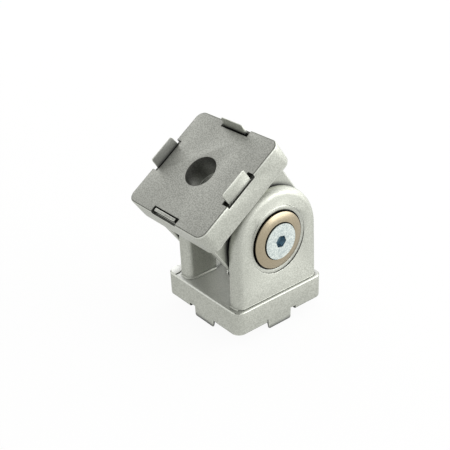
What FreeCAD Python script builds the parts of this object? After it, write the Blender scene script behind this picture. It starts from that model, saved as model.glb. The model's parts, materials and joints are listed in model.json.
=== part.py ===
import FreeCAD, Part
import math
import os

# Pivot joint for 30 mm slotted profile, in millimetres.
# Two equal die-cast halves face each other, and each carries one outer and one inner ear.
# The origin is the centre of the lower half's seat, +Z goes up through its bolt hole, and +X runs
# along the pivot axis towards the lower half's outer ear. The upper half leans towards -Y.

os.makedirs("parts", exist_ok=True)

V = FreeCAD.Vector

# Lean of the upper half at rest, from straight, in degrees
rest_tilt = 34.6

# Mounting plate of each half
plate_side = 30.0
plate_thickness = 6.85
plate_corner_radius = 2.4
plate_edge_break = 0.25
pivot_height = 22.3
bolt_hole_radius = 4.3
bolt_hole_break = 0.4

# Ears of each half, whose round rims are drawn in a few flats
ear_radius = 13.6
ear_draft = 1.66
ear_round = 1.8
rim_flats = 3
ear_rim_break = 0.3
outer_ear_inset = 1.17
outer_ear_thickness = 3.33
inner_ear_thickness = 3.4
ear_gap = 0.25
foot_break = 0.3
access_radius = 7.8

# Locating tabs that stand in the profile's slots, each a wedge that is thin at its tip
tab_length = 8.0
tab_tip_length = 7.8
tab_root_thickness = 0.8
tab_tip_thickness = 0.2
tab_height = 2.75
tab_inset = 0.8
tab_tip_round = 0.6
tab_pocket_depth = 1.0
tab_pocket_length = 9.8
tab_slot_width = 0.35

# What is left of the upper half's low tab, which is broken off
tab_stub_height = 0.15

# Raised pads on the open corners of the plate's inner side
pad_radius = 2.7
pad_height = 0.25
pad_inset = 1.0

# Recess and raised land round the pivot in the outer ear
web_thickness = 2.4
land_width = 0.95
land_height = 0.37

# Threaded insert, pressed into the inner ear and running in the outer ear's web
boss_radius = 5.0
boss_setback = 0.1
insert_flange_radius = 6.5
insert_flange_thickness = 1.6
insert_shank_radius = 4.0
insert_setback = 0.1

# Countersunk clamping screw
thread_radius = 2.5
screw_length = 6.0
head_radius = 4.85
head_rim = 0.3
socket_across_flats = 3.0
socket_depth = 1.9
socket_turn = 15.0

# Dished clamping ring under the screw head, which stands a little above the ring's mouth
ring_radius = 7.66
ring_edge_height = 1.27
ring_rim_height = 1.71
ring_rim_width = 0.15
ring_mouth_depth = 0.4
head_rise = 0.3

# Thin friction washer between two ears
washer_radius = 12.0
washer_thickness = 0.2

# Clearances and fits
press_interference = 0.01
running_clearance = 0.05
thread_clearance = 0.05
head_clearance = 0.24
ring_clearance = 0.44
washer_clearance = 0.3
film = 0.02

# Places worked out from the sizes above; the pivot axis is x, and z is counted from it
plate_half = plate_side / 2
seat_z = -pivot_height
plate_top_z = seat_z + plate_thickness
outer_face_x = plate_half - outer_ear_inset
outer_back_x = outer_face_x - outer_ear_thickness
inner_face_x = outer_back_x - ear_gap
inner_back_x = inner_face_x - inner_ear_thickness
web_face_x = outer_back_x + web_thickness
recess_radius = ring_radius + ring_clearance
ring_base_x = web_face_x + film
ring_rim_x = ring_base_x + ring_rim_height
head_face_x = ring_rim_x + head_rise
head_rim_x = head_face_x - head_rim
shank_radius = thread_radius - thread_clearance
screw_neck_x = head_rim_x - (head_radius - shank_radius)
boss_end_x = screw_neck_x - boss_setback


def ear_section(stock_x, drafted_x):
    """Half of an ear's section as (x, reach) points, with its rounded rim at drafted_x drawn in flats."""
    points = [(stock_x, 0), (stock_x, ear_radius)]
    for flat in range(rim_flats + 1):
        turn = math.radians(90 * flat / rim_flats)
        points.append((
            drafted_x - ear_round * (1 - math.sin(turn)),
            ear_radius - ear_round * (1 - math.cos(turn)),
        ))
    return points + [(drafted_x, 0)]


def mating_rim(solid, mating_x, foot_z):
    """Edges of an ear's outline on its mating face, without the foot edge."""
    edges = []
    for edge in solid.Edges:
        box = edge.BoundBox
        on_face = abs(box.XMin - mating_x) < 1e-5 and abs(box.XMax - mating_x) < 1e-5
        if on_face and box.ZMax > foot_z + plate_thickness / 4:
            edges.append(edge)
    return edges


def ear(mating_x, drafted_x):
    """Ear with an upright mating face, and a drafted, round-rimmed face that is at drafted_x by the pivot."""
    foot_z = plate_top_z - plate_thickness / 2
    section = ear_section(mating_x - ear_round, drafted_x)
    half_section = [V(x, reach, 0) for x, reach in section]
    crown = Part.Face(Part.makePolygon(half_section + half_section[:1])).revolve(V(0, 0, 0), V(1, 0, 0), 180)
    outline = half_section[1:-1] + [V(x, -reach, 0) for x, reach in reversed(section[1:-1])]
    leg = Part.Face(Part.makePolygon(outline + outline[:1])).extrude(V(0, 0, foot_z))
    solid = crown.fuse(leg).removeSplitter()
    solid = solid.rotated(V(drafted_x, 0, 0), V(0, 1, 0), -ear_draft)
    spare = Part.makeBox(2 * ear_radius, 4 * ear_radius, 4 * ear_radius,
                         V(mating_x - 2 * ear_radius, -2 * ear_radius, -2 * ear_radius))
    solid = solid.cut(spare)
    return solid.makeChamfer(ear_rim_break, mating_rim(solid, mating_x, foot_z))


def x_cylinder(radius, low_x, high_x):
    """Cylinder on the pivot axis between two x values."""
    return Part.makeCylinder(radius, high_x - low_x, V(low_x, 0, 0), V(1, 0, 0))


def rounded_square(side, corner_radius, low_z, high_z):
    """Upright square bar with round corners, centred on the bolt axis."""
    bar = Part.makeBox(side, side, high_z - low_z, V(-side / 2, -side / 2, low_z))
    uprights = [e for e in bar.Edges if e.BoundBox.ZLength > (high_z - low_z) / 2]
    return bar.makeFillet(corner_radius, uprights)


def plate_blank():
    """Square plate with round corners and broken edges."""
    plate = rounded_square(plate_side, plate_corner_radius, seat_z, plate_top_z)
    outline = [e for e in plate.Edges if e.BoundBox.ZLength < plate_thickness / 2]
    return plate.makeChamfer(plate_edge_break, outline)


def corner_pads():
    """Two low round pads beside the inner ear, cut to the plate's outline inside its edge break."""
    inner_side = plate_side - 2 * plate_edge_break
    inner_corner = plate_corner_radius - plate_edge_break
    cover = rounded_square(inner_side, inner_corner, plate_top_z - plate_edge_break, plate_top_z + pad_height)
    pads = []
    for side in (-1, 1):
        centre = V(-plate_half + pad_inset, side * (plate_half - pad_inset), plate_top_z - plate_edge_break)
        disc = Part.makeCylinder(pad_radius, plate_edge_break + pad_height, centre)
        pads.append(disc.common(cover))
    return pads


def tab_pocket():
    """Shallow pocket at the +X side of the seat, open through the side face."""
    inner_x = plate_half - tab_inset - tab_root_thickness - tab_slot_width
    return Part.makeBox(
        plate_half - inner_x + 1,
        tab_pocket_length,
        tab_pocket_depth + 1,
        V(inner_x, -tab_pocket_length / 2, seat_z - 1),
    )


def tab():
    """Wedge-shaped tab on the +X side, from the pocket's floor to beyond the seat."""
    root_z = seat_z + tab_pocket_depth
    tip_z = seat_z - tab_height
    x = plate_half - tab_inset - tab_root_thickness
    corners = [
        V(x, -tab_length / 2, root_z + plate_thickness / 4),
        V(x, -tab_length / 2, seat_z),
        V(x, -tab_tip_length / 2, tip_z),
        V(x, tab_tip_length / 2, tip_z),
        V(x, tab_length / 2, seat_z),
        V(x, tab_length / 2, root_z + plate_thickness / 4),
    ]
    blank = Part.Face(Part.makePolygon(corners + corners[:1])).extrude(V(tab_root_thickness, 0, 0))
    tips = []
    for edge in blank.Edges:
        box = edge.BoundBox
        if box.XLength > tab_root_thickness / 2 and box.ZMax < tip_z + 1e-6:
            tips.append(edge)
    blank = blank.makeFillet(tab_tip_round, tips)
    lean = tab_root_thickness - tab_tip_thickness
    spare = [
        V(x, -tab_length, seat_z),
        V(x + lean, -tab_length, tip_z),
        V(x + lean, -tab_length, tip_z - 1),
        V(x - 1, -tab_length, tip_z - 1),
        V(x - 1, -tab_length, seat_z),
    ]
    return blank.cut(Part.Face(Part.makePolygon(spare + spare[:1])).extrude(V(0, 2 * tab_length, 0)))


def around_bolt(shape):
    """The shape and its three copies round the bolt axis."""
    return [shape.rotated(V(0, 0, 0), V(0, 0, 1), 90 * turn) for turn in range(4)]


def foot_flare(solid):
    """Flare, with sharp corners, that widens an ear by the foot break where it meets the plate."""
    neck = solid.slice(V(0, 0, 1), plate_top_z + foot_break)[0]
    sole = neck.makeOffset2D(foot_break, join=2)
    sole.translate(V(0, 0, -foot_break))
    return Part.makeLoft([sole, neck], True, True)


def casting():
    """One half, seat down, with its pivot axis on x and its outer ear at +X."""
    ears = [ear(outer_back_x, outer_face_x), ear(-inner_face_x, -inner_back_x)]
    flares = [foot_flare(solid) for solid in ears]
    land = x_cylinder(recess_radius + land_width, web_face_x, outer_face_x + land_height)
    body = plate_blank().fuse(ears + flares + [land] + corner_pads())

    access = Part.makeCylinder(access_radius, pivot_height + ear_radius, V(0, 0, plate_top_z))
    bolt_hole = Part.makeCylinder(bolt_hole_radius, plate_thickness, V(0, 0, seat_z))
    hole_break = Part.makeCone(
        bolt_hole_radius,
        bolt_hole_radius + bolt_hole_break,
        bolt_hole_break,
        V(0, 0, plate_top_z - bolt_hole_break),
    )
    recess = x_cylinder(recess_radius, web_face_x, plate_half)
    web_bore = x_cylinder(boss_radius + running_clearance, outer_back_x - 1, web_face_x)
    seat_radius = insert_flange_radius - press_interference
    flange_seat = x_cylinder(seat_radius, -inner_face_x, -inner_face_x + insert_flange_thickness)
    shank_hole = x_cylinder(insert_shank_radius - press_interference, -inner_face_x, -inner_back_x)
    cuts = [access, bolt_hole, hole_break, recess, web_bore, flange_seat, shank_hole]
    body = body.cut(cuts + around_bolt(tab_pocket()))
    return body.fuse(around_bolt(tab())).removeSplitter()


def without_low_tab(solid):
    """A casting whose tab on the -Y side is broken off just beyond the seat."""
    stub_z = seat_z - tab_stub_height
    return solid.cut(Part.makeBox(
        plate_side,
        tab_inset + tab_root_thickness + tab_slot_width,
        tab_height,
        V(-plate_half, -plate_half, stub_z - tab_height),
    ))


def revolved(points):
    """Solid turned about the pivot axis from a closed outline of (x, radius) points."""
    outline = [V(x, radius, 0) for x, radius in points]
    return Part.Face(Part.makePolygon(outline + outline[:1])).revolve(V(0, 0, 0), V(1, 0, 0), 360)


def clamping_ring():
    """Dished ring whose cone holds the screw head, with a wider mouth round the head, in the +X recess."""
    mouth_radius = head_radius + head_clearance
    mouth_floor_x = ring_rim_x - ring_mouth_depth
    cone_radius = head_radius + film - (head_rim_x - mouth_floor_x)
    base_hole_radius = cone_radius - (mouth_floor_x - ring_base_x)
    return revolved([
        (ring_base_x, base_hole_radius),
        (ring_base_x, ring_radius),
        (ring_base_x + ring_edge_height, ring_radius),
        (ring_rim_x, mouth_radius + ring_rim_width),
        (ring_rim_x, mouth_radius),
        (mouth_floor_x, mouth_radius),
        (mouth_floor_x, cone_radius),
    ])


def clamping_screw():
    """Countersunk screw with a hexagon socket, head outwards at +X."""
    tip_x = head_face_x - screw_length
    blank = revolved([
        (tip_x, 0),
        (tip_x, shank_radius),
        (screw_neck_x, shank_radius),
        (head_rim_x, head_radius),
        (head_face_x, head_radius),
        (head_face_x, 0),
    ])
    socket_radius = socket_across_flats / math.sqrt(3)
    socket_x = head_face_x - socket_depth
    corners = []
    for corner in range(6):
        angle = math.radians(60 * corner + socket_turn)
        corners.append(V(socket_x, socket_radius * math.cos(angle), socket_radius * math.sin(angle)))
    socket = Part.Face(Part.makePolygon(corners + corners[:1])).extrude(V(socket_depth, 0, 0))
    return blank.cut(socket)


def threaded_insert():
    """Steel insert: shank and flange in the inner ear, boss through the outer ear's web."""
    inner_x = access_radius + insert_setback
    flange_x = inner_face_x - insert_flange_thickness
    return revolved([
        (inner_x, thread_radius),
        (inner_x, insert_shank_radius),
        (flange_x, insert_shank_radius),
        (flange_x, insert_flange_radius),
        (inner_face_x, insert_flange_radius),
        (inner_face_x, boss_radius),
        (boss_end_x, boss_radius),
        (boss_end_x, thread_radius),
    ])


def friction_washer():
    """Thin washer on the inner ear's outward face, round the insert's boss."""
    disc = x_cylinder(washer_radius, inner_face_x, inner_face_x + washer_thickness)
    return disc.cut(x_cylinder(boss_radius + washer_clearance, inner_face_x, inner_face_x + washer_thickness))


def face_left(shape):
    """The shape turned half a turn about the upright axis, from the +X side to the -X side."""
    return shape.rotated(V(0, 0, 0), V(0, 0, 1), 180)


def lower(shape):
    """A shape of the lower half, moved from the pivot axis to its place above the seat."""
    return shape.translated(V(0, 0, pivot_height))


def upper(shape):
    """A shape of the upper half, leaned and moved to its place above the seat."""
    return lower(shape.rotated(V(0, 0, 0), V(1, 0, 0), rest_tilt))


half = casting()
turned_half = without_low_tab(half).rotated(V(0, 0, 0), V(0, 1, 0), 180)
pivot_pieces = {
    "clamping_ring": clamping_ring(),
    "clamping_screw": clamping_screw(),
    "threaded_insert": threaded_insert(),
    "friction_washer": friction_washer(),
}

nodes = {"lower_casting": lower(half), "upper_casting": upper(turned_half)}
for name, piece in pivot_pieces.items():
    nodes[name + "_right"] = upper(piece)
    nodes[name + "_left"] = lower(face_left(piece))

for name, shape in nodes.items():
    shape.exportStep("parts/" + name + ".step")
    print(name, shape.isValid(), len(shape.Solids), round(shape.Volume, 1))
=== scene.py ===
"""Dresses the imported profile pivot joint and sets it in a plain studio."""
import json
import logging
import math
from dataclasses import dataclass
from enum import Enum, IntEnum
from typing import Any, ClassVar

import bpy
from mathutils import Matrix, Vector

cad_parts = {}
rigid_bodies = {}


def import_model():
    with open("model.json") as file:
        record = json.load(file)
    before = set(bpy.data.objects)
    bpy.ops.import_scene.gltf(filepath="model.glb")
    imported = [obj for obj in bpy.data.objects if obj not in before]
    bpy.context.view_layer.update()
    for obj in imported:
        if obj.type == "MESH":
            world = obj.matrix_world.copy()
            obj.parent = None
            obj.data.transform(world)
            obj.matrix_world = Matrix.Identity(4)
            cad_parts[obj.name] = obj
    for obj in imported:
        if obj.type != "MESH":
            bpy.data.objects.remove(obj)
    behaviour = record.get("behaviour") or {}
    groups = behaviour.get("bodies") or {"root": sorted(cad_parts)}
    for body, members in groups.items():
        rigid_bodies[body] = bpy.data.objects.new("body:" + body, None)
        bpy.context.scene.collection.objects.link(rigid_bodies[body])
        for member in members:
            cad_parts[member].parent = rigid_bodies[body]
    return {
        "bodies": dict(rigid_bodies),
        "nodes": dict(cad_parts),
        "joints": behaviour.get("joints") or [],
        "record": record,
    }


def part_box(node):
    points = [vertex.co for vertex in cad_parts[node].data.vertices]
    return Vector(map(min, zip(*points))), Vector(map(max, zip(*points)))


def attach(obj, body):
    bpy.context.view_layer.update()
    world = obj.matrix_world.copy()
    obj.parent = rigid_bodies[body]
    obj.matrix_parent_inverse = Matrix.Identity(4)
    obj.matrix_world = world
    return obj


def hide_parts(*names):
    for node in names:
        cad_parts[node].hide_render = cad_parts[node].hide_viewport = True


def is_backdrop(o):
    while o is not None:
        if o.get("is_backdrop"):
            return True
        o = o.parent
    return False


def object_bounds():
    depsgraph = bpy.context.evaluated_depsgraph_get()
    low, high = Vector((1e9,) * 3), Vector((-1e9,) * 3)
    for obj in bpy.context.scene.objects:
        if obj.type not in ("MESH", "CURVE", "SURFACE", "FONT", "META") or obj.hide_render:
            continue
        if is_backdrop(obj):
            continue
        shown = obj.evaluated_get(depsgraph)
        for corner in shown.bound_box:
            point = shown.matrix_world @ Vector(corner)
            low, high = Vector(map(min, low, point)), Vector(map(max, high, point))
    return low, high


LOG = logging.getLogger("pivot_joint")
MM = 0.001


class Side(Enum):
    """The two ends of the pivot axis."""

    RIGHT = "right"
    LEFT = "left"

    @property
    def body(self) -> str:
        """The CAD body that the pieces at this end ride on."""
        return "upper_half" if self is Side.RIGHT else "lower_half"

    @property
    def outwards(self) -> int:
        """Which way along x this end faces."""
        return 1 if self is Side.RIGHT else -1


class Half(Enum):
    """The two castings, equal but for the upper one's broken tab."""

    LOWER = "lower"
    UPPER = "upper"

    @property
    def body(self) -> str:
        """The CAD body that the casting belongs to."""
        return f"{self.value}_half"

    @property
    def bolt_mount(self) -> str:
        """The name of the mount whose axis points out of the casting's seat."""
        return "base_bolt" if self is Half.LOWER else "upper_bolt"

    @property
    def outwards(self) -> int:
        """Which way along x the casting's outer ear faces."""
        return 1 if self is Half.LOWER else -1


def find_mount(frame: dict[str, Any], name: str) -> dict[str, Any]:
    """Finds a mount of the record by its name."""
    return next(mount for mount in frame["record"]["mounts"] if mount["name"] == name)


def srgb(code: str) -> tuple[float, float, float, float]:
    """Turns an sRGB hex colour into the linear values that a shader takes, by the sRGB standard's formula.

    Args:
        code: Six hex digits after a hash sign.

    Returns:
        Linear red, green and blue, with an alpha of one.
    """
    parts = [int(code[place:place + 2], 16) / 255 for place in (1, 3, 5)]
    linear = [part / 12.92 if part <= 0.04045 else ((part + 0.055) / 1.055) ** 2.4 for part in parts]
    return (*linear, 1.0)


WHITE = srgb("#FFFFFF")


def add_node(tree: bpy.types.NodeTree, kind: str, inputs: dict[str | int, Any],
             **settings: Any) -> bpy.types.Node:
    """Adds a node with its settings and links.

    Args:
        tree: The node tree of the material or world.
        kind: The node's type name.
        inputs: A value or an output socket to link, for each input by name or by place.
        settings: The node's own settings.

    Returns:
        The new node.
    """
    node = tree.nodes.new(kind)
    for name, value in settings.items():
        setattr(node, name, value)
    for key, value in inputs.items():
        if isinstance(value, bpy.types.NodeSocket):
            tree.links.new(value, node.inputs[key])
        else:
            node.inputs[key].default_value = value
    return node


@dataclass(frozen=True)
class Finish:
    """A metal surface with fine grains over broad faint patches, and painted shade in its corners and gaps.

    The grains are the dents, marks or crystals that the making leaves, and the patches are where the metal
    flowed or was rubbed unevenly, a few millimetres wide and drawn at their real size. Both go from the shade
    to the colour as their noise goes through its span. The corner's colour is painted shade: it takes over as
    the share of open sky within the corner's reach falls from the open to the deep share.
    """

    name: str
    colour: str
    shade: str
    # The painted shade's colour, in corners and gaps
    corner: str
    roughness: float
    patch: float
    relief: float
    # The real grain's width, which is too fine to show: a pixel of the render is 0.26 mm wide at the joint
    grain: float = 0.11 * MM
    # How many times coarser the grain is drawn, so that it shows
    coarser: float = 3.0
    metallic: float = 1.0
    grain_share: float = 0.8
    patch_layers: float = 3.0
    span: tuple[float, float] = (0.35, 0.65)
    corner_reach: float = 2.0 * MM
    corner_samples: int = 16
    open_share: float = 0.84
    deep_share: float = 0.4

    def material(self) -> bpy.types.Material:
        """Builds the material, or takes it if it was built before.

        Returns:
            The material.
        """
        made = bpy.data.materials.get(self.name)
        if made is None:
            made = bpy.data.materials.new(self.name)
            made.use_nodes = True
            made.node_tree.nodes.clear()
            shader = add_node(made.node_tree, "ShaderNodeBsdfPrincipled", {
                "Roughness": self.roughness, "Metallic": self.metallic,
            })
            add_node(made.node_tree, "ShaderNodeOutputMaterial", {"Surface": shader.outputs["BSDF"]})
            self.paint(made.node_tree, shader)
        return made

    def noise(self, tree: bpy.types.NodeTree, where: bpy.types.NodeSocket, size: float,
              layers: float) -> bpy.types.NodeSocket:
        """Adds an even noise whose grains are about a given size.

        Args:
            tree: The material's node tree.
            where: The coordinates that the noise reads.
            size: The size of a grain in metres.
            layers: How many finer layers lie over the first.

        Returns:
            The noise's value.
        """
        return add_node(tree, "ShaderNodeTexNoise", {
            "Vector": where, "Scale": 1 / size, "Detail": layers, "Roughness": 0.5,
        }).outputs["Fac"]

    def corners(self, tree: bpy.types.NodeTree) -> bpy.types.NodeSocket:
        """Tells how much painted shade a point gets, by how far it lies in a corner or in a gap.

        Args:
            tree: The material's node tree.

        Returns:
            Nought in the open, and one deep in a corner.
        """
        near = add_node(tree, "ShaderNodeAmbientOcclusion", {
            "Distance": self.corner_reach,
        }, samples=self.corner_samples)
        return add_node(tree, "ShaderNodeMapRange", {
            "Value": near.outputs["AO"], "From Min": self.open_share, "From Max": self.deep_share,
        }).outputs["Result"]

    def paint(self, tree: bpy.types.NodeTree, shader: bpy.types.Node) -> None:
        """Gives the shader its colour and relief.

        Args:
            tree: The material's node tree.
            shader: The shader whose sockets are linked.
        """
        where = add_node(tree, "ShaderNodeTexCoord", {}).outputs["Object"]
        grains = self.noise(tree, where, self.grain * self.coarser, 0.0)
        patches = self.noise(tree, where, self.patch, self.patch_layers)
        both = add_node(tree, "ShaderNodeMix", {0: self.grain_share, 2: patches, 3: grains})
        spread = add_node(tree, "ShaderNodeMapRange", {
            "Value": both.outputs[0], "From Min": self.span[0], "From Max": self.span[1],
        })
        colour = add_node(tree, "ShaderNodeMix", {
            0: spread.outputs["Result"], 6: srgb(self.shade), 7: srgb(self.colour),
        }, data_type="RGBA")
        # Painted shade: the corner's colour takes over in corners and gaps
        darkened = add_node(tree, "ShaderNodeMix", {
            0: self.corners(tree), 6: colour.outputs[2], 7: srgb(self.corner),
        }, data_type="RGBA")
        bump = add_node(tree, "ShaderNodeBump", {
            "Strength": 1.0, "Distance": self.relief, "Height": grains,
        })
        tree.links.new(darkened.outputs[2], shader.inputs["Base Color"])
        tree.links.new(bump.outputs["Normal"], shader.inputs["Normal"])


# Die-cast aluminium, tumbled with stones: pale, soft and finely dented, so that it reflects as a blur
CAST_SKIN = Finish(
    "die_cast_aluminium_tumbled", colour="#BFC1B8", shade="#AAACA3", corner="#3A3C3E",
    roughness=0.5, grain=0.09 * MM, patch=6 * MM, relief=0.01 * MM,
)
# Die-cast aluminium, blasted with grit where the profile is clamped: greyer, and the coarsest to the eye
SEAT_SKIN = Finish(
    "die_cast_aluminium_blasted", colour="#ACADA6", shade="#91928C", corner="#5E5F5B",
    roughness=0.52, grain=0.1 * MM, patch=7 * MM, relief=0.015 * MM,
)
# The castings' rounded edges: the palest and the smoothest of the cast surfaces, their paleness a painted
# highlight
EDGE_HIGHLIGHT = Finish(
    "die_cast_aluminium_painted_edge_highlight", colour="#DADCD4", shade="#CACCC3", corner="#42433E",
    roughness=0.42, patch=3 * MM, relief=0.004 * MM,
)
# The bolt's hole, and the ears' tops where it shows them: a dull mid grey, which is painted shade
BORE_SHADE = Finish(
    "die_cast_aluminium_painted_bore_shade", colour="#72736E", shade="#62635E", corner="#3E3F3B",
    roughness=0.55, grain=0.1 * MM, coarser=4.0, patch=3 * MM, relief=0.006 * MM,
)
# The tabs' pockets, the lines at the ears' feet and the rim round the seat: a dull dark grey, which is
# painted shade
RECESS_SHADE = Finish(
    "die_cast_aluminium_painted_recess_shade", colour="#5A5B56", shade="#4A4B47", corner="#30312D",
    roughness=0.55, patch=3 * MM, relief=0.01 * MM,
)
# The ends of the lower half's tabs: rough, and nearly black, which is painted shade
END_SHADE = Finish(
    "die_cast_aluminium_painted_end_shade", colour="#2E2F2C", shade="#232422", corner="#121311",
    roughness=0.6, patch=3 * MM, relief=0.01 * MM,
)
# The plates' inner sides between the ears: smooth, and paler than the skin as painted light
INNER_PAINTED_LIGHT = Finish(
    "die_cast_aluminium_inner_painted_light", colour="#D2D3CF", shade="#C4C5C1", corner="#4A4C4F",
    roughness=0.45, patch=5 * MM, relief=0.006 * MM,
)
# The channel that the bolt goes in by: a little greyer than the skin. The same grey is painted shade on the
# tabs' inner sides and on the lower half's ear tops near the joint.
CHANNEL_SHADE_GREY = Finish(
    "die_cast_aluminium_channel_and_painted_shade", colour="#A2A39E", shade="#969792", corner="#484A4C",
    roughness=0.5, patch=4 * MM, relief=0.008 * MM,
)
# Aluminium rings, turned and anodised bronze: a warm satin with clear highlights, and painted shade, nearly
# black, in the gap
RING_FINISH = Finish(
    "anodised_bronze_turned", colour="#AA9F88", shade="#A1967F", corner="#14110E",
    roughness=0.3, grain=0.1 * MM, patch=3 * MM, relief=0.002 * MM,
)
# Zinc-plated steel screws: bright and faintly cool, with the mottling of the zinc's crystals
SCREW_FINISH = Finish(
    "zinc_plated_steel", colour="#DFE6E1", shade="#BAC4C2", corner="#3A4044",
    roughness=0.42, grain=0.1 * MM, coarser=4.0, patch=1.6 * MM, relief=0.012 * MM, grain_share=0.6,
)
# The sockets' walls: a blue grey that is a painted reflection, without dark corners
SOCKET_REFLECTION = Finish(
    "zinc_plated_steel_socket_painted_reflection", colour="#B2C2CA", shade="#98ACB6", corner="#8DA4B0",
    roughness=0.4, grain=0.1 * MM, coarser=3.5, patch=2 * MM, relief=0.004 * MM,
)
# Turned steel inserts: a plain grey satin
INSERT_FINISH = Finish(
    "turned_steel_insert", colour="#A9ABAA", shade="#8E9090", corner="#3C3D3D",
    roughness=0.35, grain=0.1 * MM, patch=2 * MM, relief=0.004 * MM,
)
# Washers stamped from rolled steel: a duller and darker grey
WASHER_FINISH = Finish(
    "rolled_steel_washer", colour="#8A8A88", shade="#6E6E6C", corner="#333333",
    roughness=0.45, grain=0.1 * MM, coarser=4.0, patch=3 * MM, relief=0.004 * MM,
)


def choose(piece: bpy.types.Object) -> None:
    """Deselects everything and makes one piece the active and selected one."""
    bpy.ops.object.select_all(action="DESELECT")
    piece.select_set(True)
    bpy.context.view_layer.objects.active = piece


@dataclass
class Pivot:
    """The pivot axis: its height, and the lean of the upper half, as the frame gives them."""

    height: float
    lean: float

    @classmethod
    def read(cls, frame: dict[str, Any]) -> "Pivot":
        """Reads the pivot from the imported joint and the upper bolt's axis.

        Args:
            frame: The loaded frame.

        Returns:
            The pivot.
        """
        low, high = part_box("clamping_screw_right")
        axis = find_mount(frame, Half.UPPER.bolt_mount)["axis"]
        return cls((low.z + high.z) / 2, math.atan2(-axis[1], axis[2]))


@dataclass(frozen=True)
class FacePlace:
    """Where a casting's face lies and looks, as seen from the middle of the seat.

    The rise is how far the face stands out of the seat, and across is how it lies along the seat. Facing is
    how far it looks the way that the seat does, from minus one to one.
    """

    centre: Vector
    normal: Vector
    rise: float
    across: Vector
    facing: float

    @property
    def outwards(self) -> float:
        """How far the face looks away from the seat's middle, from minus one to one."""
        return self.normal.dot(self.across.normalized())

    @property
    def inwards(self) -> float:
        """How far the face looks along the pivot axis to the joint's middle, from minus one to one."""
        return -math.copysign(self.normal.x, self.normal.x * self.centre.x)


@dataclass(frozen=True)
class Seat:
    """A casting's seating face, on which the profile is clamped."""

    middle: Vector
    out: Vector

    @classmethod
    def read(cls, frame: dict[str, Any], half: Half) -> "Seat":
        """Reads the middle of the seat and the way that it faces from the bolt's mount.

        Args:
            frame: The loaded frame.
            half: The casting.

        Returns:
            The seat.
        """
        mount = find_mount(frame, half.bolt_mount)
        return cls(Vector(mount["pos_m"]), Vector(mount["axis"]).normalized())

    def look_at(self, face: bpy.types.MeshPolygon) -> FacePlace:
        """Tells where a face lies and looks, as seen from the seat.

        Args:
            face: The face.

        Returns:
            Its place.
        """
        offset = face.center - self.middle
        rise = offset.dot(self.out)
        return FacePlace(face.center, face.normal, rise, offset - self.out * rise, face.normal.dot(self.out))


class CastFinish(IntEnum):
    """The places of a casting's finishes in its list of materials."""

    SKIN = 0
    SEAT = 1
    EDGE = 2
    BORE = 3
    END = 4
    RECESS = 5
    INNER = 6
    CHANNEL = 7

    @property
    def finish(self) -> Finish:
        """The finish that has this place."""
        return (CAST_SKIN, SEAT_SKIN, EDGE_HIGHLIGHT, BORE_SHADE, END_SHADE, RECESS_SHADE, INNER_PAINTED_LIGHT,
                CHANNEL_SHADE_GREY)[self]


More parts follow.
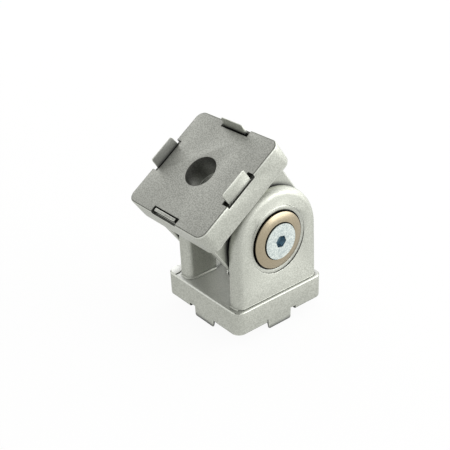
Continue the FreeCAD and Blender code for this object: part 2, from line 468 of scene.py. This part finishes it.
@dataclass
class Casting:
    """One die-cast half, refined from a copy of its CAD node.

    The copy is merged and its flat faces are joined. Then every sharp edge is rounded as a tumbled casting's
    edges are, and each face gets its finish by where it lies and looks.
    """

    half: Half

    # The rounding of the edges, and the merging before it
    edge_round: float = 0.09 * MM
    round_steps: int = 2
    sharp_angle: float = math.radians(38)
    smooth_angle: float = math.radians(35)
    flat_angle: float = math.radians(0.4)
    merge_distance: float = 0.002 * MM

    # The band round the ring's recess: its radii, its face in the CAD and how far it is set in
    band: tuple[float, float] = (8.0 * MM, 9.15 * MM)
    band_face: float = 14.2 * MM
    band_spare: float = 0.09 * MM
    band_sink: float = 0.57 * MM

    # Where the finishes lie, as rises out of the seat and distances from its middle. A pair is a range.
    stub_height: float = 0.2 * MM
    bore_reach: float = 4.6 * MM
    tab_reach: float = 12.9 * MM
    tab_height: float = 2.9 * MM
    pocket_depth: float = 1.2 * MM
    side_reach: float = 14.7 * MM
    foot: tuple[float, float] = (-7.35 * MM, -6.4 * MM)
    outer_foot: tuple[float, float] = (13.5 * MM, 14.6 * MM)
    plate_edge: float = 14.6 * MM
    hole_reach: float = 5.0 * MM
    ear_top: float = -27.5 * MM
    ear_inside: float = 10.0 * MM
    hole_view: tuple[float, float] = (-9.5 * MM, -2.5 * MM)
    channel: tuple[float, float] = (7.7 * MM, 7.9 * MM)

    # How far a face looks one way, from nought for not at all to one for straight, as a limit or a range
    level: float = 0.95
    pocket_level: float = 0.9
    slanted: tuple[float, float] = (0.2, 0.9)
    upright: float = 0.5
    bore_upright: float = 0.1
    endwise: float = 0.5
    round_endwise: float = 0.85
    sidewise: float = 0.7
    channel_inwards: float = 0.8
    ear_inwards: float = 0.25

    @property
    def node(self) -> str:
        """The CAD node that the piece stands for."""
        return f"{self.half.value}_casting"

    def copied(self, frame: dict[str, Any]) -> bpy.types.Object:
        """Copies the CAD node's mesh into a new object and merges it.

        Args:
            frame: The loaded frame.

        Returns:
            The new object, whose mesh is closed and has no needless edges.
        """
        piece = bpy.data.objects.new(f"{self.node}_skin", frame["nodes"][self.node].data.copy())
        bpy.context.scene.collection.objects.link(piece)
        choose(piece)
        bpy.ops.mesh.customdata_custom_splitnormals_clear()
        bpy.ops.object.mode_set(mode="EDIT")
        bpy.ops.mesh.select_all(action="SELECT")
        bpy.ops.mesh.remove_doubles(threshold=self.merge_distance)
        bpy.ops.mesh.dissolve_limited(angle_limit=self.flat_angle)
        bpy.ops.object.mode_set(mode="OBJECT")
        return piece

    def sink_band(self, piece: bpy.types.Object, height: float) -> None:
        """Sets the band round the ring's recess in from the ear's face, where the CAD's band stands out.

        Args:
            piece: The casting.
            height: The pivot's height.
        """
        choose(piece)
        bpy.ops.object.mode_set(mode="EDIT")
        bpy.ops.mesh.select_mode(type="VERT")
        bpy.ops.mesh.select_all(action="DESELECT")
        bpy.ops.object.mode_set(mode="OBJECT")
        for corner in piece.data.vertices:
            reach = math.hypot(corner.co.y, corner.co.z - height)
            at_face = abs(abs(corner.co.x) - self.band_face) < self.band_spare
            corner.select = self.band[0] < reach < self.band[1] and at_face
        bpy.ops.object.mode_set(mode="EDIT")
        bpy.ops.transform.translate(value=(-self.band_sink * self.half.outwards, 0, 0))
        bpy.ops.object.mode_set(mode="OBJECT")

    def is_slanted(self, face: FacePlace) -> bool:
        """Whether a face looks aslant to the seat, as a chamfer does."""
        return self.slanted[0] < abs(face.facing) < self.slanted[1]

    def at_foot(self, face: FacePlace) -> bool:
        """Whether a face lies at the plate's inner side, where the ears' feet are."""
        return self.foot[0] < face.rise < self.foot[1]

    def at_hole(self, face: FacePlace) -> bool:
        """Whether a face lies at the bolt hole's inner end."""
        return self.at_foot(face) and face.across.length < self.hole_reach

    def at_plate_edge(self, face: FacePlace) -> bool:
        """Whether a face lies on the edge of the plate's inner side."""
        along = math.sqrt(max(face.across.length_squared - face.across.x ** 2, 0))
        return self.at_foot(face) and max(abs(face.across.x), along) > self.plate_edge

    def recessed(self, face: FacePlace) -> bool:
        """Tells whether a face lies in a tab's pocket or at an outer ear's foot.

        Args:
            face: The face.

        Returns:
            Whether it does, and so gets painted shade.
        """
        if self.at_foot(face):
            return self.is_slanted(face) and self.outer_foot[0] < abs(face.across.x) < self.outer_foot[1]
        if not (-self.pocket_depth < face.rise < 0 and face.across.length > self.tab_reach):
            return False
        wall = abs(face.outwards) < self.endwise or face.across.length < self.side_reach
        return face.facing > self.pocket_level or abs(face.facing) < self.upright and wall

    def in_ear_top(self, face: FacePlace) -> bool:
        """Whether a face of the lower half looks into the joint from an ear's top."""
        return (self.half is Half.LOWER and face.rise < self.ear_top and face.inwards > self.ear_inwards
                and abs(face.centre.x) < self.ear_inside)

    def ear_top_finish(self, face: FacePlace) -> CastFinish:
        """Which painted shade an ear's top gets: the darkest only where the bolt hole shows it at rest."""
        seen = self.hole_view[0] < face.centre.y < self.hole_view[1]
        return CastFinish.BORE if seen else CastFinish.CHANNEL

    def in_channel(self, face: FacePlace) -> bool:
        """Whether a face is the wall of the round channel that the bolt goes in by."""
        return (face.rise < self.foot[1] and self.channel[0] < face.across.length < self.channel[1]
                and face.outwards < -self.channel_inwards)

    def tab_inside(self, face: FacePlace) -> bool:
        """Whether a face is the side, towards the bolt hole, of a tab at one of the pivot's ends."""
        return (self.stub_height < face.rise < self.tab_height and abs(face.across.x) > self.tab_reach
                and face.normal.x * face.across.x < 0 and abs(face.normal.x) > self.sidewise)

    def tab_end(self, face: FacePlace, most: float) -> bool:
        """Tells whether a face of the lower half is the end of a tab.

        Args:
            face: The face.
            most: How far it may look away from the seat's middle, or towards it.

        Returns:
            Whether it is.
        """
        at_tab = face.across.length > self.tab_reach and -self.pocket_depth < face.rise < self.tab_height
        return (self.half is Half.LOWER and at_tab and abs(face.outwards) < most
                and abs(face.facing) < self.upright)

    def face_finish(self, face: FacePlace) -> CastFinish:
        """Chooses the finish of a face, before the edges are rounded.

        Args:
            face: The face.

        Returns:
            Its finish.
        """
        if abs(face.rise) < self.stub_height and face.facing > self.level:
            return CastFinish.SEAT
        if face.across.length < self.bore_reach and abs(face.facing) < self.bore_upright:
            return CastFinish.BORE
        if self.recessed(face):
            return CastFinish.RECESS
        if self.in_ear_top(face):
            return self.ear_top_finish(face)
        if self.in_channel(face) or self.tab_inside(face) or self.at_hole(face) and self.is_slanted(face):
            return CastFinish.CHANNEL
        if self.at_plate_edge(face) and abs(face.across.x) < self.plate_edge and self.is_slanted(face):
            return CastFinish.EDGE
        if self.at_foot(face) and face.facing < -self.level:
            return CastFinish.INNER
        return CastFinish.END if self.tab_end(face, self.endwise) else CastFinish.SKIN

    def round_finish(self, face: FacePlace) -> CastFinish:
        """Chooses the finish of a rounded edge.

        Args:
            face: One of the edge's faces.

        Returns:
            Its finish, which is the painted edge highlight except round the seat, in the joint and at a tab's
            end.
        """
        if abs(face.rise) < self.edge_round:
            return CastFinish.RECESS
        if self.in_ear_top(face):
            return self.ear_top_finish(face)
        if self.at_foot(face) and not self.at_plate_edge(face):
            return CastFinish.CHANNEL if self.at_hole(face) else CastFinish.SKIN
        return CastFinish.END if self.tab_end(face, self.round_endwise) else CastFinish.EDGE

    def build(self, frame: dict[str, Any]) -> bpy.types.Object:
        """Builds the casting and puts it on its body.

        Args:
            frame: The loaded frame.

        Returns:
            The finished piece.
        """
        piece = self.copied(frame)
        self.sink_band(piece, Pivot.read(frame).height)
        seat = Seat.read(frame, self.half)
        piece.data.materials.clear()
        for place in CastFinish:
            piece.data.materials.append(place.finish.material())
        for face in piece.data.polygons:
            face.material_index = self.face_finish(seat.look_at(face))
        bevel = piece.modifiers.new("edge_round", "BEVEL")
        bevel.width = self.edge_round
        bevel.segments = self.round_steps
        bevel.limit_method = "ANGLE"
        bevel.angle_limit = self.sharp_angle
        bevel.use_clamp_overlap = False
        # The rounded edges take the painted edge highlight, and round_finish moves some of them to painted
        # shade
        bevel.material = CastFinish.EDGE
        choose(piece)
        bpy.ops.object.modifier_apply(modifier=bevel.name)
        for face in piece.data.polygons:
            if face.material_index == CastFinish.EDGE:
                face.material_index = self.round_finish(seat.look_at(face))
        bpy.ops.object.shade_smooth_by_angle(angle=self.smooth_angle)
        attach(piece, self.half.body)
        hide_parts(self.node)
        return piece


@dataclass
class TurnedPiece:
    """A piece turned on the pivot axis, drawn out loop by loop and finished with rounded edges."""

    side: Side
    pivot: Pivot
    facets: int = 96
    edge_round: float = 0.05 * MM
    round_steps: int = 2
    sharp_angle: float = math.radians(24)
    smooth_angle: float = math.radians(30)
    kind: ClassVar[str]
    record_slot: ClassVar[str]

    @property
    def node(self) -> str:
        """The CAD node that the piece stands for."""
        return f"{self.kind}_{self.side.value}"

    @property
    def reach(self) -> tuple[float, float, float]:
        """Measures the CAD node.

        Returns:
            How near and how far out it goes along the axis, and its radius.
        """
        low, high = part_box(self.node)
        near, far = sorted((low.x * self.side.outwards, high.x * self.side.outwards))
        return near, far, (high.z - low.z) / 2

    def draw(self, stations: list[tuple[float, float]], hollow: bool) -> bpy.types.Object:
        """Draws the piece through its stations.

        Args:
            stations: Distances out along the axis, each with the radius there.
            hollow: Whether the last loop joins the first, as in a ring, or both ends are closed by faces.

        Returns:
            The new object, out of edit mode, with its faces turned outwards.
        """
        (out, radius), rest = stations[0], stations[1:]
        bpy.ops.object.select_all(action="DESELECT")
        bpy.ops.mesh.primitive_circle_add(
            vertices=self.facets, radius=radius, fill_type="NOTHING" if hollow else "NGON",
            location=(out * self.side.outwards, 0, self.pivot.height), rotation=(0, math.pi / 2, 0),
        )
        piece = bpy.context.object
        piece.name = f"{self.node}_turned"
        bpy.ops.object.transform_apply(location=True, rotation=True, scale=True)
        bpy.ops.object.mode_set(mode="EDIT")
        bpy.ops.mesh.select_all(action="SELECT")
        for next_out, next_radius in rest:
            step = (next_out - out) * self.side.outwards
            share = next_radius / radius
            middle = (next_out * self.side.outwards, 0, self.pivot.height)
            bpy.ops.mesh.extrude_region_move(TRANSFORM_OT_translate={"value": (step, 0, 0)})
            bpy.ops.transform.resize(value=(1, share, share), center_override=middle)
            out, radius = next_out, next_radius
        if hollow:
            bpy.ops.mesh.select_all(action="DESELECT")
            bpy.ops.mesh.select_non_manifold()
            bpy.ops.mesh.bridge_edge_loops()
        bpy.ops.mesh.select_all(action="SELECT")
        bpy.ops.mesh.normals_make_consistent(inside=False)
        bpy.ops.object.mode_set(mode="OBJECT")
        return piece

    def finish(self, piece: bpy.types.Object) -> bpy.types.Object:
        """Rounds the sharp edges, smooths the piece and puts it on its body.

        Args:
            piece: The drawn piece, with its materials.

        Returns:
            The finished piece.
        """
        bevel = piece.modifiers.new("edge_round", "BEVEL")
        bevel.width = self.edge_round
        bevel.segments = self.round_steps
        bevel.limit_method = "ANGLE"
        bevel.angle_limit = self.sharp_angle
        choose(piece)
        bpy.ops.object.modifier_apply(modifier=bevel.name)
        bpy.ops.object.shade_smooth_by_angle(angle=self.smooth_angle)
        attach(piece, self.side.body)
        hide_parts(self.node)
        return piece


@dataclass
class ClampingRing(TurnedPiece):
    """The dished ring that the screw head pulls into the ear's recess."""

    edge_height: float = 1.13 * MM
    mouth_radius: float = 5.09 * MM
    rim_width: float = 0.15 * MM
    mouth_depth: float = 0.4 * MM
    cone_radius: float = 4.47 * MM
    kind: ClassVar[str] = "clamping_ring"
    record_slot: ClassVar[str] = "ring"

    def build(self) -> bpy.types.Object:
        """Draws the ring's dished face, its edge, its back and the cone that holds the screw.

        Returns:
            The finished piece.
        """
        near, far, radius = self.reach
        floor = far - self.mouth_depth
        piece = self.draw([
            (near, self.cone_radius - (floor - near)),
            (near, radius),
            (near + self.edge_height, radius),
            (far, self.mouth_radius + self.rim_width),
            (far, self.mouth_radius),
            (floor, self.mouth_radius),
            (floor, self.cone_radius),
        ], hollow=True)
        piece.data.materials.append(RING_FINISH.material())
        return self.finish(piece)


@dataclass(frozen=True)
class Hole:
    """A hole to cut: its sides, its radius over the corners at its mouth and at its bottom, and its depth."""

    sides: int
    mouth: float
    bottom: float
    depth: float


@dataclass
class ClampingScrew(TurnedPiece):
    """The countersunk screw, with its hexagon socket, its thread and its lead-in."""

    rim: float = 0.3 * MM
    shank_radius: float = 2.45 * MM
    thread_pitch: float = 0.8 * MM
    thread_depth: float = 0.38 * MM
    lead_in: float = 0.5 * MM
    socket_sides: int = 6
    socket_across_flats: float = 3.0 * MM
    socket_depth: float = 1.9 * MM
    socket_turn: float = math.radians(15)
    drill_facets: int = 32
    drill_point: float = 0.5 * MM
    cut_spare: float = 0.001 * MM
    kind: ClassVar[str] = "clamping_screw"
    record_slot: ClassVar[str] = "screw"

    def thread(self, start: float, end: float) -> list[tuple[float, float]]:
        """Gives the stations of a thread, drawn as grooves of its pitch.

        Args:
            start: Where the thread starts, as a distance out along the axis.
            end: Where it has ended.

        Returns:
            The stations.
        """
        stations = []
        root = self.shank_radius - self.thread_depth
        while start + self.thread_pitch < end:
            stations += [(start, self.shank_radius), (start + self.thread_pitch / 2, root)]
            start += self.thread_pitch
        return stations + [(start, self.shank_radius)]

    def cut_socket(self, piece: bpy.types.Object, face: float) -> None:
        """Cuts the hexagon socket and the drill point at its bottom.

        Args:
            piece: The screw's blank.
            face: Where the head's face is, as a distance out along the axis.
        """
        corner = self.socket_across_flats / math.sqrt(3)
        turned_right = self.socket_turn + self.pivot.lean
        turn = turned_right if self.side is Side.RIGHT else math.pi - self.socket_turn
        socket = Hole(self.socket_sides, corner, corner, self.socket_depth)
        point = Hole(self.drill_facets, self.socket_across_flats / 2, 0.0, self.drill_point)
        self.cut(piece, socket, face, turn)
        self.cut(piece, point, face - self.socket_depth, turn)

    def cut(self, piece: bpy.types.Object, hole: Hole, face: float, turn: float) -> None:
        """Cuts a hole into the screw.

        Args:
            piece: The screw.
            hole: The hole.
            face: Where the hole's mouth is, as a distance out along the axis.
            turn: How far its first corner is turned from level.
        """
        bpy.ops.object.select_all(action="DESELECT")
        out = face - hole.depth / 2 + self.cut_spare / 2
        bpy.ops.mesh.primitive_cone_add(
            vertices=hole.sides, radius1=hole.bottom, radius2=hole.mouth, depth=hole.depth + self.cut_spare,
            location=(out * self.side.outwards, 0, self.pivot.height),
            rotation=(0, math.pi / 2 * self.side.outwards, 0),
        )
        cutter = bpy.context.object
        bpy.ops.object.transform_apply(location=True, rotation=True, scale=True)
        cutter.data.materials.append(SOCKET_REFLECTION.material())
        middle = Vector((0, 0, self.pivot.height))
        first = max((corner.co - middle for corner in cutter.data.vertices), key=lambda way: way.yz.length)
        level = math.atan2(first.z, first.y)
        bpy.ops.object.mode_set(mode="EDIT")
        bpy.ops.mesh.select_all(action="SELECT")
        bpy.ops.transform.rotate(value=level - turn, orient_axis="X", center_override=middle)
        bpy.ops.object.mode_set(mode="OBJECT")
        cutting = piece.modifiers.new("socket", "BOOLEAN")
        cutting.operation = "DIFFERENCE"
        cutting.solver = "EXACT"
        cutting.material_mode = "TRANSFER"
        cutting.object = cutter
        choose(piece)
        bpy.ops.object.modifier_apply(modifier=cutting.name)
        bpy.data.objects.remove(cutter)

    def build(self) -> bpy.types.Object:
        """Draws the screw from its tip to its face, and cuts its socket.

        Returns:
            The finished piece.
        """
        near, far, radius = self.reach
        neck = far - self.rim - (radius - self.shank_radius)
        piece = self.draw([
            (near, self.shank_radius - self.thread_depth),
            *self.thread(near + self.lead_in, neck),
            (neck, self.shank_radius),
            (far - self.rim, radius),
            (far, radius),
        ], hollow=False)
        piece.data.materials.append(SCREW_FINISH.material())
        self.cut_socket(piece, far)
        return self.finish(piece)


@dataclass
class ThreadedInsert(TurnedPiece):
    """The steel bush that the screw threads into and that the outer ear turns on."""

    flange_thickness: float = 1.6 * MM
    boss_radius: float = 5.0 * MM
    shank_radius: float = 4.0 * MM
    boss_length: float = 1.88 * MM
    bore_radius: float = 2.5 * MM
    thread_pitch: float = 0.8 * MM
    thread_depth: float = 0.3 * MM
    mouth_bevel: float = 0.35 * MM
    kind: ClassVar[str] = "threaded_insert"
    record_slot: ClassVar[str] = "insert"

    def build(self) -> bpy.types.Object:
        """Draws the bush's outside and its threaded bore.

        Returns:
            The finished piece.
        """
        near, far, radius = self.reach
        face = far - self.boss_length
        root = self.bore_radius + self.thread_depth
        bore = []
        place = far - self.mouth_bevel
        while place - self.thread_pitch > near + self.mouth_bevel:
            bore += [(place, self.bore_radius), (place - self.thread_pitch / 2, root)]
            place -= self.thread_pitch
        piece = self.draw([
            (near, self.bore_radius + self.mouth_bevel),
            (near, self.shank_radius),
            (face - self.flange_thickness, self.shank_radius),
            (face - self.flange_thickness, radius),
            (face, radius),
            (face, self.boss_radius),
            (far, self.boss_radius),
            (far, self.bore_radius + self.mouth_bevel),
            *bore,
            (near + self.mouth_bevel, self.bore_radius),
        ], hollow=True)
        piece.data.materials.append(INSERT_FINISH.material())
        return self.finish(piece)


@dataclass
class FrictionWasher:
    """The thin washer between two ears, whose CAD shape stays."""

    side: Side

    def dress(self, frame: dict[str, Any]) -> bpy.types.Object:
        """Gives the washer's CAD node its finish.

        Args:
            frame: The loaded frame.

        Returns:
            The node's object.
        """
        washer = frame["nodes"][f"friction_washer_{self.side.value}"]
        for place in washer.material_slots:
            place.material = WASHER_FINISH.material()
        return washer


@dataclass(frozen=True)
class Lamp:
    """A square soft light, aimed at the joint from a direction, with its power in watts."""

    name: str
    towards: tuple[float, float, float]
    power: float
    distance: float = 0.6
    side: float = 0.5

    def build(self, target: Vector) -> None:
        """Adds the light.

        Args:
            target: The place that the light is aimed at.
        """
        way = Vector(self.towards).normalized()
        data = bpy.data.lights.new(self.name, "AREA")
        data.size = self.side
        data.energy = self.power
        lamp = bpy.data.objects.new(self.name, data)
        lamp.location = target + way * self.distance
        lamp.rotation_euler = way.to_track_quat("Z", "Y").to_euler()
        bpy.context.scene.collection.objects.link(lamp)


@dataclass
class Studio:
    """A pale floor, a pale surround and soft lights.

    The surround lights the joint at its own strength, and both it and the floor show as white. The floor
    does so by the white's share, and keeps its shadow by the rest.
    """

    floor_z: float
    target: Vector
    floor_side: float = 3.0
    paper: str = "#F4F4F2"
    lamps: tuple[Lamp, ...] = (
        Lamp("side_softbox", towards=(0.74, 0.64, 0.15), power=2.75),
        Lamp("back_softbox", towards=(0, 1, 0.3), power=1.4),
        Lamp("far_softbox", towards=(-1, 0.3, 0.3), power=0.9),
    )
    surround: float = 0.8
    white: float = 1.0
    white_share: float = 0.93

    def background_rays(self, tree: bpy.types.NodeTree) -> bpy.types.NodeSocket:
        """Tells which rays show the background: those of the camera, and those off gloss or through glass.

        Args:
            tree: The floor's or the world's node tree.

        Returns:
            One for such a ray, and otherwise nought.
        """
        path = add_node(tree, "ShaderNodeLightPath", {})
        shown = path.outputs["Is Camera Ray"]
        for kind in ("Is Glossy Ray", "Is Transmission Ray"):
            shown = add_node(tree, "ShaderNodeMath", {
                0: shown, 1: path.outputs[kind],
            }, operation="MAXIMUM").outputs["Value"]
        return shown

    def floor(self) -> None:
        """Builds the floor, which shows as white and keeps a faint shadow."""
        bpy.ops.object.select_all(action="DESELECT")
        bpy.ops.mesh.primitive_plane_add(size=self.floor_side, location=(0, 0, self.floor_z))
        floor = bpy.context.object
        floor.name = "studio_floor"
        material = bpy.data.materials.new("white_paper_floor")
        material.use_nodes = True
        tree = material.node_tree
        tree.nodes.clear()
        diffuse = add_node(tree, "ShaderNodeBsdfDiffuse", {"Color": srgb(self.paper)})
        glow = add_node(tree, "ShaderNodeEmission", {"Color": WHITE, "Strength": self.white})
        share = add_node(tree, "ShaderNodeMath", {
            0: self.background_rays(tree), 1: self.white_share,
        }, operation="MULTIPLY")
        mix = add_node(tree, "ShaderNodeMixShader", {
            0: share.outputs["Value"], 1: diffuse.outputs["BSDF"], 2: glow.outputs["Emission"],
        })
        add_node(tree, "ShaderNodeOutputMaterial", {"Surface": mix.outputs["Shader"]})
        floor.data.materials.append(material)
        floor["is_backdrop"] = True

    def world(self) -> None:
        """Builds the surround, which shows as white and lights the joint more softly."""
        world = bpy.data.worlds.new("studio_world")
        bpy.context.scene.world = world
        world.use_nodes = True
        tree = world.node_tree
        tree.nodes.clear()
        strength = add_node(tree, "ShaderNodeMapRange", {
            "Value": self.background_rays(tree), "To Min": self.surround, "To Max": self.white,
        })
        background = add_node(tree, "ShaderNodeBackground", {
            "Color": WHITE, "Strength": strength.outputs["Result"],
        })
        add_node(tree, "ShaderNodeOutputWorld", {"Surface": background.outputs["Background"]})

    def build(self) -> None:
        """Builds the floor, the surround and the lamps."""
        self.floor()
        self.world()
        for lamp in self.lamps:
            lamp.build(self.target)


@dataclass
class PhotoCamera:
    """The camera that the photograph was taken with, as found by fitting the plates, ears and ring.

    Its angles are in degrees. The aim's height is that of the point looked at, before it is moved right and
    up in the picture.
    """

    azimuth: float = 51.824
    elevation: float = 28.265
    roll: float = -2.455
    distance: float = 214.61 * MM
    aim_height: float = 21.0 * MM
    aim_right: float = -4.604 * MM
    aim_up: float = 0.114 * MM
    lens: float = 65.34
    sensor: float = 36.0
    nearest: float = 10 * MM

    def build(self) -> None:
        """Adds the camera and makes it the scene's own."""
        turn, rise = math.radians(self.azimuth), math.radians(self.elevation)
        back = Vector((math.sin(turn) * math.cos(rise), -math.cos(turn) * math.cos(rise), math.sin(rise)))
        level = Vector((math.cos(turn), math.sin(turn), 0))
        right = Matrix.Rotation(math.radians(self.roll), 3, back) @ level
        up = back.cross(right)
        target = Vector((0, 0, self.aim_height)) + right * self.aim_right + up * self.aim_up
        data = bpy.data.cameras.new("photo_camera")
        data.lens = self.lens
        data.sensor_width = self.sensor
        data.clip_start = self.nearest
        camera = bpy.data.objects.new("photo_camera", data)
        bpy.context.scene.collection.objects.link(camera)
        place = Matrix((right, up, back)).transposed().to_4x4()
        place.translation = target + back * self.distance
        camera.matrix_world = place
        bpy.context.scene.camera = camera


def main() -> None:
    """Builds the joint, the studio and the camera."""
    logging.basicConfig(level=logging.INFO)
    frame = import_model()
    cad_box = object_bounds()
    PhotoCamera().build()
    pivot = Pivot.read(frame)
    Studio(cad_box[0].z, Vector((0, 0, pivot.height))).build()
    pieces = [Casting(half).build(frame) for half in Half]
    for side in Side:
        pieces += [kind(side, pivot).build() for kind in (ClampingRing, ClampingScrew, ThreadedInsert)]
        pieces.append(FrictionWasher(side).dress(frame))
    for piece in pieces:
        LOG.info("%s has %d faces", piece.name, len(piece.data.polygons))
    bpy.context.scene.view_settings.view_transform = "Standard"


if __name__ == "__main__":
    main()
